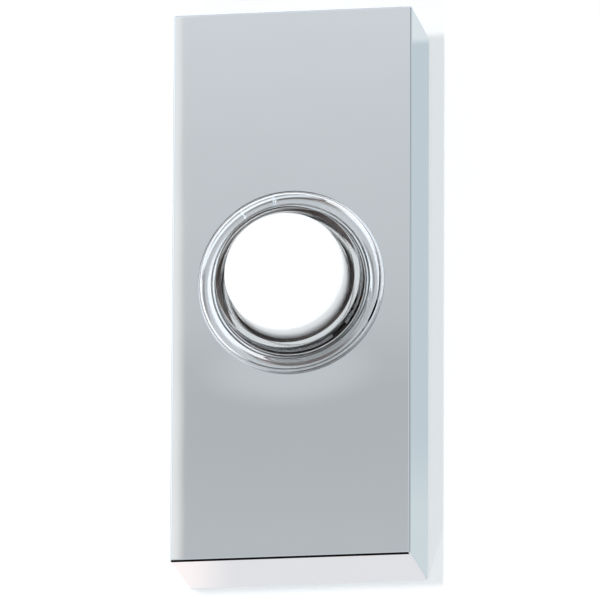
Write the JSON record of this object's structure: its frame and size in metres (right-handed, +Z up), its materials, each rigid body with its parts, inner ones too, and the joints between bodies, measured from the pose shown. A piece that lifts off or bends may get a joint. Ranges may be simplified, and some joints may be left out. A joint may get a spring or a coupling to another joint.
{
  "type": "doorbell push button",
  "caption": "Surface-mounted doorbell push button: plated rectangular cover, clear lens ring, lit white cap on a sprung plunger over a momentary switch.",
  "frame": {"origin": "centre of the mounting plate's back face, on the wall plane", "axes": "+Y into the wall, +Z up the wall along the cover's long side, +X to the right seen from the front"},
  "size_m": [0.0382, 0.0252, 0.0888],
  "materials": {
    "chrome_plate": "bright polished plating",
    "clear_lens": "clear moulded plastic",
    "cap_white": "translucent white, lit from behind",
    "retainer_steel": "bright rolled steel",
    "plunger_nylon": "natural nylon",
    "clip_steel": "blued spring steel",
    "spring_steel": "drawn spring wire",
    "board_laminate": "white solder mask",
    "lamp_case": "moulded lamp body",
    "resistor_chip": "black chip, plated ends",
    "tinned_wire": "tinned copper and solder",
    "guide_nylon": "natural moulded nylon",
    "housing_black": "black moulded plastic",
    "contact_brass": "stamped strip",
    "contact_silver": "silver alloy",
    "screw_zinc": "zinc plated",
    "terminal_brass": "turned brass, slotted",
    "washer_steel": "zinc plated",
    "plate_black": "black moulded plate"
  },
  "bodies": {
    "bell_push": {"front_cover": "chrome_plate", "lens_ring": "clear_lens", "lens_retainer": "retainer_steel", "return_spring": "spring_steel", "lamp_board": "board_laminate", "lamp_low_left": "lamp_case", "lamp_low_right": "lamp_case", "lamp_high_right": "lamp_case", "lamp_high_left": "lamp_case", "board_resistor": "resistor_chip", "board_leads": "tinned_wire", "guide_plate": "guide_nylon", "housing_screws": "screw_zinc", "switch_housing": "housing_black", "fixed_contact": "contact_brass", "contact_rivet": "contact_silver", "moving_contact": "contact_brass", "terminal_screw_left": "terminal_brass", "terminal_screw_right": "terminal_brass", "terminal_washer_left": "washer_steel", "terminal_washer_right": "washer_steel", "backplate": "plate_black"},
    "button": {"button_cap": "cap_white", "plunger": "plunger_nylon", "plunger_clip": "clip_steel"}
  },
  "joints": [
    {"name": "button_press", "type": "slide", "parent": "bell_push", "child": "button", "axis": [0, 1, 0], "range_m": [0, 0.0015], "stiffness_N_per_m": 300, "deforming": ["return_spring", "moving_contact"]}
  ]
}
